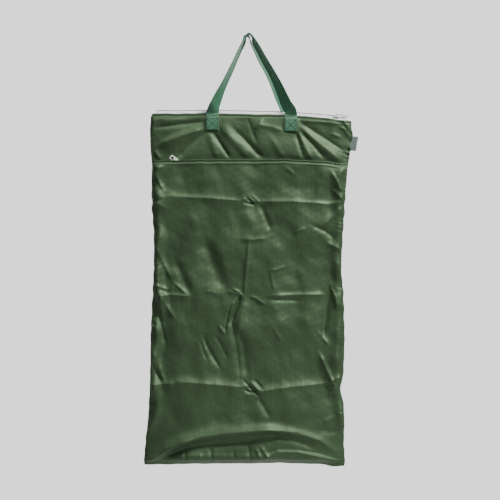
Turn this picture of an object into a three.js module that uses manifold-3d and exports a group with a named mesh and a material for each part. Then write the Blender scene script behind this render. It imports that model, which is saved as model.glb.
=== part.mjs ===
// A large wet bag of coated cloth that hangs by two webbing handles, with a zip along its top
// and a zipped outer pocket. Millimetres, +Z up, the front looks along -Y.
// The origin is where the handles hang: the underside of the front handle's bend.

import * as THREE from 'three';
import { mergeVertices } from 'three/addons/utils/BufferGeometryUtils.js';
import Module from 'manifold-3d';

const wasm = await Module();
wasm.setup();

// Driving sizes of the bag
const BAG_WIDTH = 400;
const BAG_HEIGHT = 695;
const BAG_DEPTH = 34;
const CLOTH = 1.4;
const FULLNESS_POWER = 7;
const GAP = 0.3;
const HANG_DROP = 155;
const POCKET_DROP = 93;

// Driving sizes of the handles
const WEBBING_WIDTH = 25;
const WEBBING = 1.6;
const FRONT_SPACING = 155;
const FRONT_SHIFT = 6;
const FRONT_BEND_X = 1;
const BACK_SPACING = 143;
const BACK_SHIFT = 0;
const BACK_BEND_X = -4;
const PATCH_LENGTH = 32;
const HANDLE_RISE = 5;
const HOOK_RADIUS = 5;

// Driving sizes of the zips
const TAPE = 1;
const TAPE_SHOW = 4.6;
const TAPE_LAP = 9;
const ZIP_CENTRE_GAP = 2.5;
const ZIP_END_MARGIN = 9;
const COIL_HEIGHT = 2.2;
const COIL_DEPTH = 2.6;
const COIL_TAPER = 0.5;
const SLIDER_LENGTH = 10;
const SLIDER_WALL = 1.2;
const SLIDER_INSET = 18;
const BRIDGE_WIDTH = 2;
const BRIDGE_ROOM = 1.5;
const BRIDGE_WALL = 1;
const PULL_LENGTH = 24;
const PULL_WIDTH = 9.5;
const PULL = 1.3;
const PULL_EYE_BAR = 1.4;
const PULL_NECK = 5.4;
const PULL_SHOULDER = 2;
const PULL_CORNER = 1.5;
const PULL_HOLE = 5.4;

// Driving sizes of the pocket's zip, behind the pocket's lip
const LIP_FOLD = 8;
const LIP_RISE = 6.9;
const LIP_RISE_ENDS = [0.07, 0.134, 0.16, 0.45];
const POCKET_TAPE = 12;
const POCKET_COIL_DEPTH = 1.8;
const POCKET_COIL_HEIGHT = 5;
const POCKET_ZIP_MARGIN = 22;
const POCKET_SLIDER_IN = 58;
const POCKET_SLIDER_LENGTH = 9;
const POCKET_SLIDER_HEIGHT = 7.5;
const POCKET_SLIDER_NOSE = 5;
const POCKET_PULL_TILT = 40;

// Driving sizes of the side tag
const TAG_REACH = 11;
const TAG_LENGTH = 30;
const TAG_DROP = 31;
const TAG = 1.2;

// Turns rows of numbers into rows with named columns
function table(columns, rows) {
  return rows.map((row) => Object.fromEntries(columns.map((name, i) => [name, row[i]])));
}

// The side edges, as shares of the bag's width, down the height
const OUTLINE = table(['down', 'left', 'right'], [
  [0.000, -0.475, 0.508], [0.014, -0.485, 0.510], [0.037, -0.487, 0.517],
  [0.065, -0.488, 0.510], [0.110, -0.484, 0.500], [0.135, -0.480, 0.494],
  [0.200, -0.480, 0.483], [0.270, -0.478, 0.475], [0.340, -0.470, 0.467],
  [0.430, -0.470, 0.461], [0.500, -0.474, 0.470], [0.570, -0.480, 0.474],
  [0.650, -0.485, 0.475], [0.750, -0.488, 0.465], [0.775, -0.490, 0.456],
  [0.810, -0.493, 0.469], [0.870, -0.498, 0.475], [0.930, -0.510, 0.473],
  [0.965, -0.514, 0.475], [0.985, -0.518, 0.478], [1.000, -0.513, 0.472],
]);

// How the top hem droops and the bottom seam runs, as shares of the height
const HEMS = table(['across', 'top', 'bottom'], [
  [0.00, 0.000, 1.001], [0.50, 0.002, 0.998], [0.65, 0.004, 0.997], [0.80, 0.009, 0.998],
  [0.90, 0.015, 1.001], [0.95, 0.019, 1.006], [1.00, 0.022, 1.005],
]);

// How far each panel stands off, as shares of the bag's depth, down the height:
// the front panel and the back panel from the seams, the pocket from the front panel
const DEPTHS = table(['down', 'front', 'pocket', 'back'], [
  [0.000, 0.000, 0.228, 0.000], [0.030, 0.110, 0.228, 0.070], [0.070, 0.165, 0.228, 0.120],
  [0.135, 0.175, 0.228, 0.150], [0.246, 0.190, 0.228, 0.175], [0.380, 0.215, 0.285, 0.190],
  [0.515, 0.205, 0.270, 0.180], [0.640, 0.250, 0.350, 0.205], [0.773, 0.245, 0.310, 0.190],
  [0.860, 0.320, 0.420, 0.230], [0.920, 0.350, 0.520, 0.235], [0.965, 0.240, 0.360, 0.170],
  [1.000, 0.000, 0.000, 0.000],
]);

// Folds that fan out of the handle patches on the front panel, as shares of width and height.
// Reach is a share of the width and rise a share of the local depth.
const FOLD_COLUMNS = ['fromAcross', 'fromDown', 'toAcross', 'toDown', 'reach', 'rise'];
const FRONT_FOLDS = table(FOLD_COLUMNS, [
  [0.27, 0.030, 0.03, 0.048, 0.016, -0.45], [0.27, 0.046, 0.03, 0.096, 0.024, 0.35],
  [0.27, 0.052, 0.13, 0.120, 0.016, -0.50], [0.33, 0.040, 0.48, 0.125, 0.024, 0.55],
  [0.30, 0.060, 0.38, 0.130, 0.016, -0.40], [0.41, 0.050, 0.56, 0.125, 0.022, -0.50],
  [0.49, 0.015, 0.54, 0.050, 0.014, -0.40], [0.73, 0.048, 0.77, 0.130, 0.016, -0.40],
  [0.74, 0.048, 0.86, 0.125, 0.018, -0.45], [0.75, 0.034, 0.96, 0.120, 0.020, 0.60],
  [0.75, 0.026, 0.98, 0.098, 0.016, -0.50], [0.76, 0.020, 0.95, 0.034, 0.016, 0.35],
  [0.95, 0.040, 0.99, 0.066, 0.016, 0.35],
]);

// Creases, ridges and dents of the pocket panel, in the same columns
const POCKET_FOLDS = table(FOLD_COLUMNS, [
  [0.12, 0.238, 0.46, 0.246, 0.018, 0.34], [0.12, 0.252, 0.46, 0.260, 0.018, -0.34],
  [0.54, 0.244, 0.74, 0.256, 0.018, 0.34], [0.54, 0.262, 0.98, 0.268, 0.018, -0.34],
  [0.05, 0.500, 0.18, 0.505, 0.018, 0.34], [0.15, 0.515, 0.45, 0.520, 0.018, -0.34],
  [0.47, 0.505, 0.88, 0.508, 0.020, 0.40], [0.55, 0.528, 0.88, 0.528, 0.018, -0.38],
  [0.05, 0.760, 0.46, 0.762, 0.020, 0.34], [0.10, 0.782, 0.46, 0.784, 0.018, -0.36],
  [0.52, 0.764, 0.94, 0.762, 0.022, 0.40], [0.52, 0.788, 0.90, 0.782, 0.018, -0.36],
  [0.25, 0.350, 0.39, 0.500, 0.034, -0.34], [0.12, 0.420, 0.20, 0.500, 0.024, -0.26],
  [0.51, 0.260, 0.58, 0.350, 0.026, 0.28], [0.49, 0.370, 0.48, 0.490, 0.014, -0.26],
  [0.90, 0.190, 0.86, 0.300, 0.028, 0.26], [0.87, 0.320, 0.98, 0.400, 0.020, -0.28],
  [0.91, 0.500, 0.89, 0.640, 0.018, -0.30], [0.88, 0.680, 0.94, 0.760, 0.018, 0.34],
  [0.44, 0.540, 0.36, 0.620, 0.020, -0.30], [0.27, 0.640, 0.34, 0.690, 0.020, -0.22],
  [0.08, 0.935, 0.26, 0.908, 0.022, 0.26], [0.32, 0.903, 0.86, 0.890, 0.024, 0.30],
  [0.10, 0.955, 0.60, 0.925, 0.018, -0.34], [0.61, 0.968, 0.98, 0.985, 0.014, -0.50],
  [0.06, 0.165, 0.06, 0.215, 0.024, 0.30], [0.04, 0.380, 0.12, 0.470, 0.022, 0.28],
]);

// The legs of each handle from the hem up to the bend, as shares of the way down and of the way
// out to the patch. Turn is in degrees: 0 faces the front, 90 shows the edge.
const LEG_COLUMNS = ['down', 'out', 'turn'];
const FRONT_LEGS = {
  left: table(LEG_COLUMNS, [
    [0.905, 0.930, 34], [0.712, 0.752, 60], [0.468, 0.493, 72], [0.193, 0.231, 77],
  ]),
  right: table(LEG_COLUMNS, [
    [0.905, 0.915, 32], [0.712, 0.750, 48], [0.468, 0.526, 62], [0.193, 0.245, 70],
  ]),
};
const BACK_LEGS = {
  left: table(LEG_COLUMNS, [
    [0.905, 1.020, 50], [0.712, 0.838, 67], [0.468, 0.558, 72], [0.193, 0.280, 77],
  ]),
  right: table(LEG_COLUMNS, [
    [0.905, 0.945, 50], [0.712, 0.755, 61], [0.468, 0.504, 70], [0.193, 0.182, 77],
  ]),
};

// Colours and finishes
const CLOTH_LOOK = { color: 0x425c40, roughness: 0.45, metalness: 0 };
const WEBBING_LOOK = { color: 0x3f7a58, roughness: 0.7, metalness: 0 };
const TAPE_LOOK = { color: 0xdfe4e4, roughness: 0.75, metalness: 0 };
const COIL_LOOK = { color: 0xc3c8cb, roughness: 0.5, metalness: 0 };
const METAL_LOOK = { color: 0xcfd2d2, roughness: 0.3, metalness: 0.9 };
const TAG_LOOK = { color: 0xa3b5ac, roughness: 0.8, metalness: 0 };

// Smooth value of one column between two rows of a table
function along(rows, key, at, column) {
  const last = rows.length - 1;
  let i = 1;
  while (i < last && rows[i][key] < at) i += 1;
  const low = rows[i - 1];
  const high = rows[i];
  const share = THREE.MathUtils.clamp((at - low[key]) / (high[key] - low[key]), 0, 1);
  return THREE.MathUtils.lerp(low[column], high[column], share * share * (3 - 2 * share));
}

// Sum of the folds at a place on a panel
function foldRise(folds, across, down) {
  const x = across * BAG_WIDTH;
  const z = down * BAG_HEIGHT;
  let sum = 0;
  for (const fold of folds) {
    const startX = fold.fromAcross * BAG_WIDTH;
    const startZ = fold.fromDown * BAG_HEIGHT;
    const runX = fold.toAcross * BAG_WIDTH - startX;
    const runZ = fold.toDown * BAG_HEIGHT - startZ;
    const near = ((x - startX) * runX + (z - startZ) * runZ) / (runX * runX + runZ * runZ);
    const share = THREE.MathUtils.clamp(near, 0, 1);
    const away = Math.hypot(x - startX - share * runX, z - startZ - share * runZ);
    sum += fold.rise * Math.exp(-((away / (fold.reach * BAG_WIDTH)) ** 2));
  }
  return sum;
}

// Places on the bag: across runs 0 to 1 from left to right, down 0 to 1 from hem to seam
function edgeX(side, down) {
  return along(OUTLINE, 'down', down, side) * BAG_WIDTH;
}

function panelX(across, down) {
  return THREE.MathUtils.lerp(edgeX('left', down), edgeX('right', down), across);
}

function panelZ(across, down) {
  const top = along(HEMS, 'across', across, 'top');
  const bottom = along(HEMS, 'across', across, 'bottom');
  return -HANG_DROP - BAG_HEIGHT * THREE.MathUtils.lerp(top, bottom, down) + lipRise(across, down);
}

// The pocket's lip droops less than the hem does at its right end
function lipRise(across, down) {
  const [start, full, hold, end] = LIP_RISE_ENDS;
  const above = THREE.MathUtils.smoothstep(down, start, full);
  return LIP_RISE * across ** 2 * above * (1 - THREE.MathUtils.smoothstep(down, hold, end));
}

function acrossAt(x, down) {
  return (x - edgeX('left', down)) / (edgeX('right', down) - edgeX('left', down));
}

function downAt(across, z) {
  const top = along(HEMS, 'across', across, 'top');
  const bottom = along(HEMS, 'across', across, 'bottom');
  return ((-z - HANG_DROP) / BAG_HEIGHT - top) / (bottom - top);
}

// A panel's fullness between its side seams
function fullness(across) {
  return 1 - Math.abs(2 * across - 1) ** FULLNESS_POWER;
}

// Distances from the middle of the seams to the faces of the panels
const HEM_ROOM = ZIP_CENTRE_GAP / 2 + TAPE + GAP;
const HEM_BLEND = 5 * TAPE_LAP;

function seamRoom(down) {
  const share = THREE.MathUtils.smoothstep(down * BAG_HEIGHT, TAPE_LAP + GAP, HEM_BLEND);
  return THREE.MathUtils.lerp(HEM_ROOM, GAP / 2, share);
}

function frontInner(across, down) {
  const folds = Math.exp(foldRise(FRONT_FOLDS, across, down));
  const room = BAG_DEPTH * along(DEPTHS, 'down', down, 'front') * fullness(across);
  return seamRoom(down) + room * folds;
}

function frontOuter(across, down) {
  return frontInner(across, down) + CLOTH;
}

function backInner(across, down) {
  return seamRoom(down) + BAG_DEPTH * along(DEPTHS, 'down', down, 'back') * fullness(across);
}

function backOuter(across, down) {
  return backInner(across, down) + CLOTH;
}

function pocketInner(across, down) {
  const folds = Math.exp(foldRise(POCKET_FOLDS, across, down));
  const room = BAG_DEPTH * along(DEPTHS, 'down', down, 'pocket') * fullness(across);
  return frontOuter(across, down) + GAP + room * folds;
}

// Even stations from one value to another
function even(from, to, count) {
  return Array.from({ length: count + 1 }, (_, i) => THREE.MathUtils.lerp(from, to, i / count));
}

// A closed wall between a near face, towards the front, and a far face behind it,
// on a grid of stations across and down
function wall(acrossList, downList, nearAt, farAt) {
  const positions = [];
  const indices = [];
  const columns = acrossList.length - 1;
  const rows = downList.length - 1;
  const index = (face, column, row) => (face * (rows + 1) + row) * (columns + 1) + column;
  for (const faceAt of [nearAt, farAt]) {
    for (const down of downList) {
      for (const across of acrossList) positions.push(...faceAt(across, down).toArray());
    }
  }
  const quad = (a, b, c, d) => indices.push(a, b, c, a, c, d);
  for (let row = 0; row < rows; row += 1) {
    for (let column = 0; column < columns; column += 1) {
      const place = (face, right, down) => index(face, column + right, row + down);
      quad(place(0, 0, 0), place(0, 0, 1), place(0, 1, 1), place(0, 1, 0));
      quad(place(1, 0, 0), place(1, 1, 0), place(1, 1, 1), place(1, 0, 1));
    }
    const edge = (face, side, down) => index(face, side * columns, row + down);
    quad(edge(0, 0, 0), edge(1, 0, 0), edge(1, 0, 1), edge(0, 0, 1));
    quad(edge(0, 1, 0), edge(0, 1, 1), edge(1, 1, 1), edge(1, 1, 0));
  }
  for (let column = 0; column < columns; column += 1) {
    const edge = (face, right, side) => index(face, column + right, side * rows);
    quad(edge(0, 0, 0), edge(0, 1, 0), edge(1, 1, 0), edge(1, 0, 0));
    quad(edge(0, 0, 1), edge(1, 0, 1), edge(1, 1, 1), edge(0, 1, 1));
  }
  const geometry = new THREE.BufferGeometry();
  geometry.setAttribute('position', new THREE.Float32BufferAttribute(positions, 3));
  geometry.setIndex(indices);
  geometry.computeVertexNormals();
  return geometry;
}

// Named meshes
function piece(name, geometry, look) {
  const mesh = new THREE.Mesh(geometry, new THREE.MeshStandardMaterial(look));
  mesh.name = name;
  return mesh;
}

// Stations of the panels. The front panel is finer above the pocket's lip, and every panel has
// a row where the hem band ends, level with the tapes.
const POCKET_TOP = POCKET_DROP / BAG_HEIGHT;
const HEM_BAND = (TAPE_LAP + GAP) / BAG_HEIGHT;
const BULGE_TOP = 0.86;
const POCKET_ZIP_DROP = POCKET_DROP + LIP_FOLD;
const TAPE_ROWS = [-POCKET_TAPE, -POCKET_COIL_HEIGHT, POCKET_COIL_HEIGHT, POCKET_TAPE]
  .map((height) => (POCKET_ZIP_DROP + height / 2) / BAG_HEIGHT);
const BOTTOM_ROWS = even(BULGE_TOP, 1, 6).slice(1);
const BACK_ROWS = [0, ...even(HEM_BAND, BULGE_TOP, 9), ...BOTTOM_ROWS];
const FRONT_ROWS = [
  0, ...even(HEM_BAND, TAPE_ROWS[0], 8), ...TAPE_ROWS.slice(1),
  ...even(TAPE_ROWS[3], BULGE_TOP, 8).slice(1), ...BOTTOM_ROWS,
];
const POCKET_ROWS = [...even(POCKET_TOP, BULGE_TOP, 32), ...BOTTOM_ROWS];
const PANEL_COLUMNS = even(0, 1, 26);
const BACK_COLUMNS = even(0, 1, 14);

// The depth of a panel's flat facets at any place, from the depths at its stations
function facets(depthAt, acrossList, downList) {
  const cell = (list, at) => {
    let i = 1;
    while (i < list.length - 1 && list[i] < at) i += 1;
    return [i, THREE.MathUtils.clamp((at - list[i - 1]) / (list[i] - list[i - 1]), 0, 1)];
  };
  return (across, down) => {
    const [i, x] = cell(acrossList, across);
    const [j, z] = cell(downList, down);
    const a = depthAt(acrossList[i - 1], downList[j - 1]);
    const c = depthAt(acrossList[i], downList[j]);
    const b = depthAt(acrossList[i - 1], downList[j]);
    const d = depthAt(acrossList[i], downList[j - 1]);
    return z > x ? a + (b - a) * z + (c - b) * x : a + (d - a) * x + (c - d) * z;
  };
}

// The furthest that a panel's facets stand off around a place, within reach of it
function seatDepth(facetAt, x, z, reachX, reachZ) {
  let depth = 0;
  for (const dx of [-reachX, 0, reachX]) {
    for (const dz of [-reachZ, 0, reachZ]) {
      const down = Math.max(0, downAt(acrossAt(x + dx, 0), z + dz));
      depth = Math.max(depth, facetAt(acrossAt(x + dx, down), down));
    }
  }
  return depth;
}

const frontFacets = facets(frontOuter, PANEL_COLUMNS, FRONT_ROWS);
const backFacets = facets(backOuter, BACK_COLUMNS, BACK_ROWS);

// Panels
function frontPanel() {
  const at = (face) => (across, down) => (
    new THREE.Vector3(panelX(across, down), -face(across, down), panelZ(across, down))
  );
  return wall(PANEL_COLUMNS, FRONT_ROWS, at(frontOuter), at(frontInner));
}

function backPanel() {
  const at = (face) => (across, down) => (
    new THREE.Vector3(panelX(across, down), face(across, down), panelZ(across, down))
  );
  return wall(BACK_COLUMNS, BACK_ROWS, at(backInner), at(backOuter));
}

function pocketPanel() {
  const at = (extra) => (across, down) => {
    const depth = pocketInner(across, down) + extra;
    return new THREE.Vector3(panelX(across, down), -depth, panelZ(across, down));
  };
  return wall(PANEL_COLUMNS, POCKET_ROWS, at(CLOTH), at(0));
}

// Zip along the top hem: two tapes, the closed coil on them, the slider and its pull
const TAPE_START = ZIP_END_MARGIN / BAG_WIDTH;
const TAPE_END = 1 - TAPE_START;
const TRIM_COLUMNS = even(TAPE_START, TAPE_END, 26);

function hemPoint(across, y, rise) {
  return new THREE.Vector3(panelX(across, 0), y, panelZ(across, 0) + rise);
}

function zipTape(nearY, farY) {
  const at = (y) => (across, fall) => (
    hemPoint(across, y, THREE.MathUtils.lerp(TAPE_SHOW, -TAPE_LAP, fall))
  );
  return wall(TRIM_COLUMNS, [0, 1], at(nearY), at(farY));
}

function zipCoil() {
  const at = (side) => (across, fall) => {
    const rise = TAPE_SHOW + GAP + COIL_HEIGHT * (1 - fall);
    const bulge = 1 - COIL_TAPER * Math.abs(2 * fall - 1);
    return hemPoint(across, (side * COIL_DEPTH * bulge) / 2, rise);
  };
  return wall(TRIM_COLUMNS, [0, 0.5, 1], at(-1), at(1));
}

// Solids that are joined or cut
function solid(geometry) {
  const bare = geometry.clone();
  bare.deleteAttribute('normal');
  bare.deleteAttribute('uv');
  const merged = mergeVertices(bare, 1e-4);
  return new wasm.Manifold(new wasm.Mesh({
    numProp: 3,
    vertProperties: new Float32Array(merged.attributes.position.array),
    triVerts: new Uint32Array(merged.index.array),
  }));
}

function meshOf(manifold) {
  const mesh = manifold.getMesh();
  const geometry = new THREE.BufferGeometry();
  geometry.setAttribute('position', new THREE.Float32BufferAttribute(mesh.vertProperties, 3));
  geometry.setIndex(Array.from(mesh.triVerts));
  geometry.computeVertexNormals();
  return geometry;
}

// A flat outline drawn in X and Z, as thick as depth along Y about the middle
function plate(points, holes, depth) {
  const shape = new THREE.Shape(points.map(([x, z]) => new THREE.Vector2(x, z)));
  for (const hole of holes) {
    shape.holes.push(new THREE.Path(hole.map(([x, z]) => new THREE.Vector2(x, z))));
  }
  const geometry = new THREE.ExtrudeGeometry(shape, { depth, bevelEnabled: false });
  geometry.translate(0, 0, -depth / 2);
  geometry.rotateX(Math.PI / 2);
  return geometry;
}

function rectangle(x, z, width, height) {
  return [[x, z], [x + width, z], [x + width, z + height], [x, z + height]];
}

// Slider: a saddle over the coil with a bridge on top that holds the pull's eye bar.
// Its own origin is the pull's axis.
const BRIDGE_LENGTH = 2 * (BRIDGE_ROOM + BRIDGE_WALL);
const SADDLE_HALF = ZIP_CENTRE_GAP / 2 + TAPE + GAP;
const SADDLE_FALL = COIL_HEIGHT + GAP + SLIDER_WALL;

function bridge() {
  const height = 2 * BRIDGE_ROOM + 2 * BRIDGE_WALL;
  const low = -BRIDGE_ROOM - BRIDGE_WALL;
  const outline = rectangle(-BRIDGE_LENGTH / 2, low, BRIDGE_LENGTH, height);
  const room = rectangle(-BRIDGE_ROOM, -BRIDGE_ROOM, 2 * BRIDGE_ROOM, 2 * BRIDGE_ROOM);
  return plate(outline, [room], BRIDGE_WIDTH);
}

function saddle() {
  const top = -BRIDGE_ROOM;
  const half = SADDLE_HALF + SLIDER_WALL;
  const section = new THREE.Shape([
    [-half, top], [-half, top - SLIDER_WALL - SADDLE_FALL],
    [-SADDLE_HALF, top - SLIDER_WALL - SADDLE_FALL], [-SADDLE_HALF, top - SLIDER_WALL],
    [SADDLE_HALF, top - SLIDER_WALL], [SADDLE_HALF, top - SLIDER_WALL - SADDLE_FALL],
    [half, top - SLIDER_WALL - SADDLE_FALL], [half, top],
  ].map(([y, z]) => new THREE.Vector2(y, z)));
  const geometry = new THREE.ExtrudeGeometry(section, { depth: SLIDER_LENGTH, bevelEnabled: false });
  geometry.translate(0, 0, -SLIDER_LENGTH / 2);
  geometry.rotateX(Math.PI / 2);
  geometry.rotateZ(Math.PI / 2);
  return geometry;
}

function slider() {
  return meshOf(solid(saddle()).add(solid(bridge())));
}

// Pull: a flat tab along +X from its eye bar, with an eye and a square hole near its tip
function pullTab() {
  const start = -PULL_EYE_BAR / 2;
  const eye = BRIDGE_WIDTH + 4 * GAP;
  const eyeHalf = eye / 2;
  const neck = eyeHalf + PULL_EYE_BAR;
  const half = PULL_WIDTH / 2;
  const shoulder = PULL_NECK + PULL_SHOULDER;
  const outline = [
    [start, -neck], [PULL_NECK, -neck], [shoulder, -half], [PULL_LENGTH - PULL_CORNER, -half],
    [PULL_LENGTH, -half + PULL_CORNER], [PULL_LENGTH, half - PULL_CORNER],
    [PULL_LENGTH - PULL_CORNER, half], [shoulder, half], [PULL_NECK, neck], [start, neck],
  ];
  const rim = (PULL_WIDTH - PULL_HOLE) / 2;
  const holes = [
    rectangle(-start, -eyeHalf, PULL_NECK - PULL_EYE_BAR, eye),
    rectangle(PULL_LENGTH - rim - PULL_HOLE, -PULL_HOLE / 2, PULL_HOLE, PULL_HOLE),
  ];
  return plate(outline, holes, PULL);
}

// Where the top slider sits: at the closed end of the zip, tilted with the drooping hem
const SLIDER_ACROSS = acrossAt(edgeX('right', 0) - SLIDER_INSET - PULL_LENGTH / 2, 0);
const SLIDER_RISE = TAPE_SHOW + GAP + COIL_HEIGHT + GAP + SLIDER_WALL + BRIDGE_ROOM;

function sliderFrame() {
  const step = SLIDER_LENGTH / BAG_WIDTH;
  const next = hemPoint(SLIDER_ACROSS + step, 0, 0);
  const last = hemPoint(SLIDER_ACROSS - step, 0, 0);
  const group = new THREE.Group();
  group.rotation.y = Math.atan2(last.z - next.z, next.x - last.x);
  group.position.copy(hemPoint(SLIDER_ACROSS, 0, 0));
  return group;
}

function topSlider() {
  const group = sliderFrame();
  const body = piece('zip_slider', slider(), METAL_LOOK);
  body.position.z = SLIDER_RISE;
  group.add(body);
  const pull = piece('zip_pull', pullTab().rotateX(Math.PI / 2), METAL_LOOK);
  pull.position.z = SLIDER_RISE;
  group.add(pull);
  return group;
}

// Pocket zip behind the lip: tape on the front panel, coil, slider and pull
// Its strips share the front panel's stations, so they lie flat on the panel's facets.
const POCKET_SLIDER_ACROSS = POCKET_SLIDER_IN / BAG_WIDTH;
const POCKET_COIL_START = POCKET_SLIDER_ACROSS + (POCKET_SLIDER_LENGTH / 2 + GAP) / BAG_WIDTH;

function pocketStrip(startAcross, rows, near, far) {
  const endAcross = 1 - POCKET_ZIP_MARGIN / BAG_WIDTH;
  const columns = PANEL_COLUMNS.filter((across) => across >= startAcross && across <= endAcross);
  const at = (off) => (across, down) => (
    new THREE.Vector3(panelX(across, down), -frontOuter(across, down) - off, panelZ(across, down))
  );
  return wall(columns, rows, at(near), at(far));
}

function pocketSlider() {
  const half = POCKET_SLIDER_LENGTH / 2;
  const outline = [
    [-half, -POCKET_SLIDER_NOSE / 2], [half, -POCKET_SLIDER_HEIGHT / 2],
    [half, POCKET_SLIDER_HEIGHT / 2], [-half, POCKET_SLIDER_NOSE / 2],
  ];
  return plate(outline, [], POCKET_COIL_DEPTH);
}

function pocketZip() {
  const tapeFar = GAP;
  const tapeNear = tapeFar + TAPE;
  const coilFar = tapeNear + GAP;
  const coilNear = coilFar + POCKET_COIL_DEPTH;
  const tape = pocketStrip(POCKET_ZIP_MARGIN / BAG_WIDTH, TAPE_ROWS, tapeNear, tapeFar);
  const coil = pocketStrip(POCKET_COIL_START, TAPE_ROWS.slice(1, 3), coilNear, coilFar);
  const down = POCKET_ZIP_DROP / BAG_HEIGHT;
  const [x, z] = [panelX(POCKET_SLIDER_ACROSS, down), panelZ(POCKET_SLIDER_ACROSS, down)];
  const seat = seatDepth(frontFacets, x, z, POCKET_SLIDER_LENGTH / 2, POCKET_SLIDER_HEIGHT / 2);
  const group = new THREE.Group();
  group.position.set(x, -seat - coilFar - POCKET_COIL_DEPTH / 2, z);
  group.add(piece('pocket_zip_slider', pocketSlider(), METAL_LOOK));
  const pull = piece('pocket_zip_pull', pullTab(), METAL_LOOK);
  pull.rotation.y = Math.PI + THREE.MathUtils.degToRad(POCKET_PULL_TILT);
  pull.position.y = -POCKET_COIL_DEPTH / 2 - GAP - PULL / 2;
  group.add(pull);
  return [
    piece('pocket_zip_tape', tape, TAPE_LOOK),
    piece('pocket_zip_coil', coil, COIL_LOOK),
    group,
  ];
}

// Handles: one ribbon each, from a sewn patch over the bend to the other patch. The front
// handle stays in front of the middle plane and the back handle behind it. Lean is 1 where the
// ribbon's inner face turns to the front, and -1 where its outer face does.
const PATCH_ROWS = even(0, 1, 3);

function handle({ legs, facetAt, side, spacing, shift, bendX, lean }) {
  const lift = GAP + WEBBING / 2;
  const hemLift = facetAt(0.5, 0) + lift;
  const legStations = (leg, rows) => {
    const x = shift + (leg * spacing) / 2;
    const hem = panelZ(acrossAt(x, 0), 0);
    const sewn = PATCH_ROWS.map((share) => ({ x, z: hem + (share - 1) * PATCH_LENGTH }));
    const raised = { x, z: hem + HANDLE_RISE };
    const flat = [...sewn, raised].map((station) => ({ ...station, turn: 0, free: 0 }));
    const free = rows.map((row) => (
      { x: row.out * x, z: row.down * hem, turn: lean * row.turn, free: 1 - row.down }
    ));
    return [...flat, ...free];
  };
  const radius = HOOK_RADIUS + WEBBING / 2;
  const bend = [-60, -30, 0, 30, 60].map((degrees) => {
    const angle = THREE.MathUtils.degToRad(degrees);
    const x = bendX + radius * Math.sin(angle);
    return { x, z: radius * Math.cos(angle) - HOOK_RADIUS, turn: lean * 90, free: 1 };
  });
  const stations = [
    ...legStations(-1, legs.left), ...bend, ...legStations(1, legs.right).reverse(),
  ];

  // Smooth runs of the middle line, and of its turn and freedom, over the stations
  const points = stations.map((station) => new THREE.Vector3(station.x, 0, station.z));
  const middle = new THREE.CatmullRomCurve3(points, false, 'centripetal');
  const at = (length, key) => {
    const place = length * (stations.length - 1);
    const i = Math.min(Math.floor(place), stations.length - 2);
    const share = place - i;
    return THREE.MathUtils.lerp(stations[i][key], stations[i + 1][key], share);
  };
  const faceAt = (offset) => (across, length) => {
    const point = middle.getPoint(length);
    const run = middle.getTangent(length);
    const sewn = at(length, 'free') === 0;
    const turn = THREE.MathUtils.degToRad(at(length, 'turn'));
    const flat = new THREE.Vector3(sewn ? Math.sign(run.z) : run.z, 0, sewn ? 0 : -run.x);
    const forward = new THREE.Vector3(0, 1, 0);
    const turned = (share, depth) => (
      flat.clone().multiplyScalar(share).addScaledVector(forward, depth)
    );
    const wide = turned(Math.cos(turn), Math.sin(turn));
    const face = turned(Math.sin(turn), -Math.cos(turn));
    const clear = THREE.MathUtils.lerp(hemLift, GAP, Math.sqrt(at(length, 'free')));
    point.y = side * ((WEBBING_WIDTH / 2) * Math.abs(Math.sin(turn)) + clear);
    point.addScaledVector(wide, (across - 0.5) * WEBBING_WIDTH);
    if (sewn) {
      const seat = seatDepth(facetAt, point.x, point.z, WEBBING_WIDTH / 4, PATCH_LENGTH / 12);
      point.y = side * (seat + lift);
    }
    return point.addScaledVector(face, offset);
  };
  const lengths = even(0, 1, 3 * (stations.length - 1));
  return wall([0, 0.5, 1], lengths, faceAt(-WEBBING / 2), faceAt(WEBBING / 2));
}

// Side tag, standing out of the right side seam
function sideTag() {
  const at = (y) => (share, fall) => {
    const drop = TAG_DROP + TAG_LENGTH * fall;
    const down = drop / BAG_HEIGHT;
    const reach = GAP + TAG_REACH * share;
    return new THREE.Vector3(edgeX('right', down) + reach, y, panelZ(1, down));
  };
  return wall([0, 1], even(0, 1, 4), at(-TAG / 2), at(TAG / 2));
}

// The bag
const frontHandle = handle({
  legs: FRONT_LEGS, facetAt: frontFacets, side: -1,
  spacing: FRONT_SPACING, shift: FRONT_SHIFT, bendX: FRONT_BEND_X, lean: 1,
});
const backHandle = handle({
  legs: BACK_LEGS, facetAt: backFacets, side: 1,
  spacing: BACK_SPACING, shift: BACK_SHIFT, bendX: BACK_BEND_X, lean: -1,
});
const innerY = ZIP_CENTRE_GAP / 2;
const bag = new THREE.Group();
bag.add(
  piece('back_panel', backPanel(), CLOTH_LOOK),
  piece('front_panel', frontPanel(), CLOTH_LOOK),
  piece('pocket_panel', pocketPanel(), CLOTH_LOOK),
  piece('zip_tape_front', zipTape(-innerY - TAPE, -innerY), TAPE_LOOK),
  piece('zip_tape_back', zipTape(innerY, innerY + TAPE), TAPE_LOOK),
  piece('zip_coil', zipCoil(), COIL_LOOK),
  topSlider(),
  ...pocketZip(),
  piece('handle_front', frontHandle, WEBBING_LOOK),
  piece('handle_back', backHandle, WEBBING_LOOK),
  piece('side_tag', sideTag(), TAG_LOOK),
);

export default bag;
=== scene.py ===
# A large wet bag of coated cloth that hangs by its webbing handles.
# Metres, in the frame of the CAD model: the origin is where the handles hang.

import math

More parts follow.
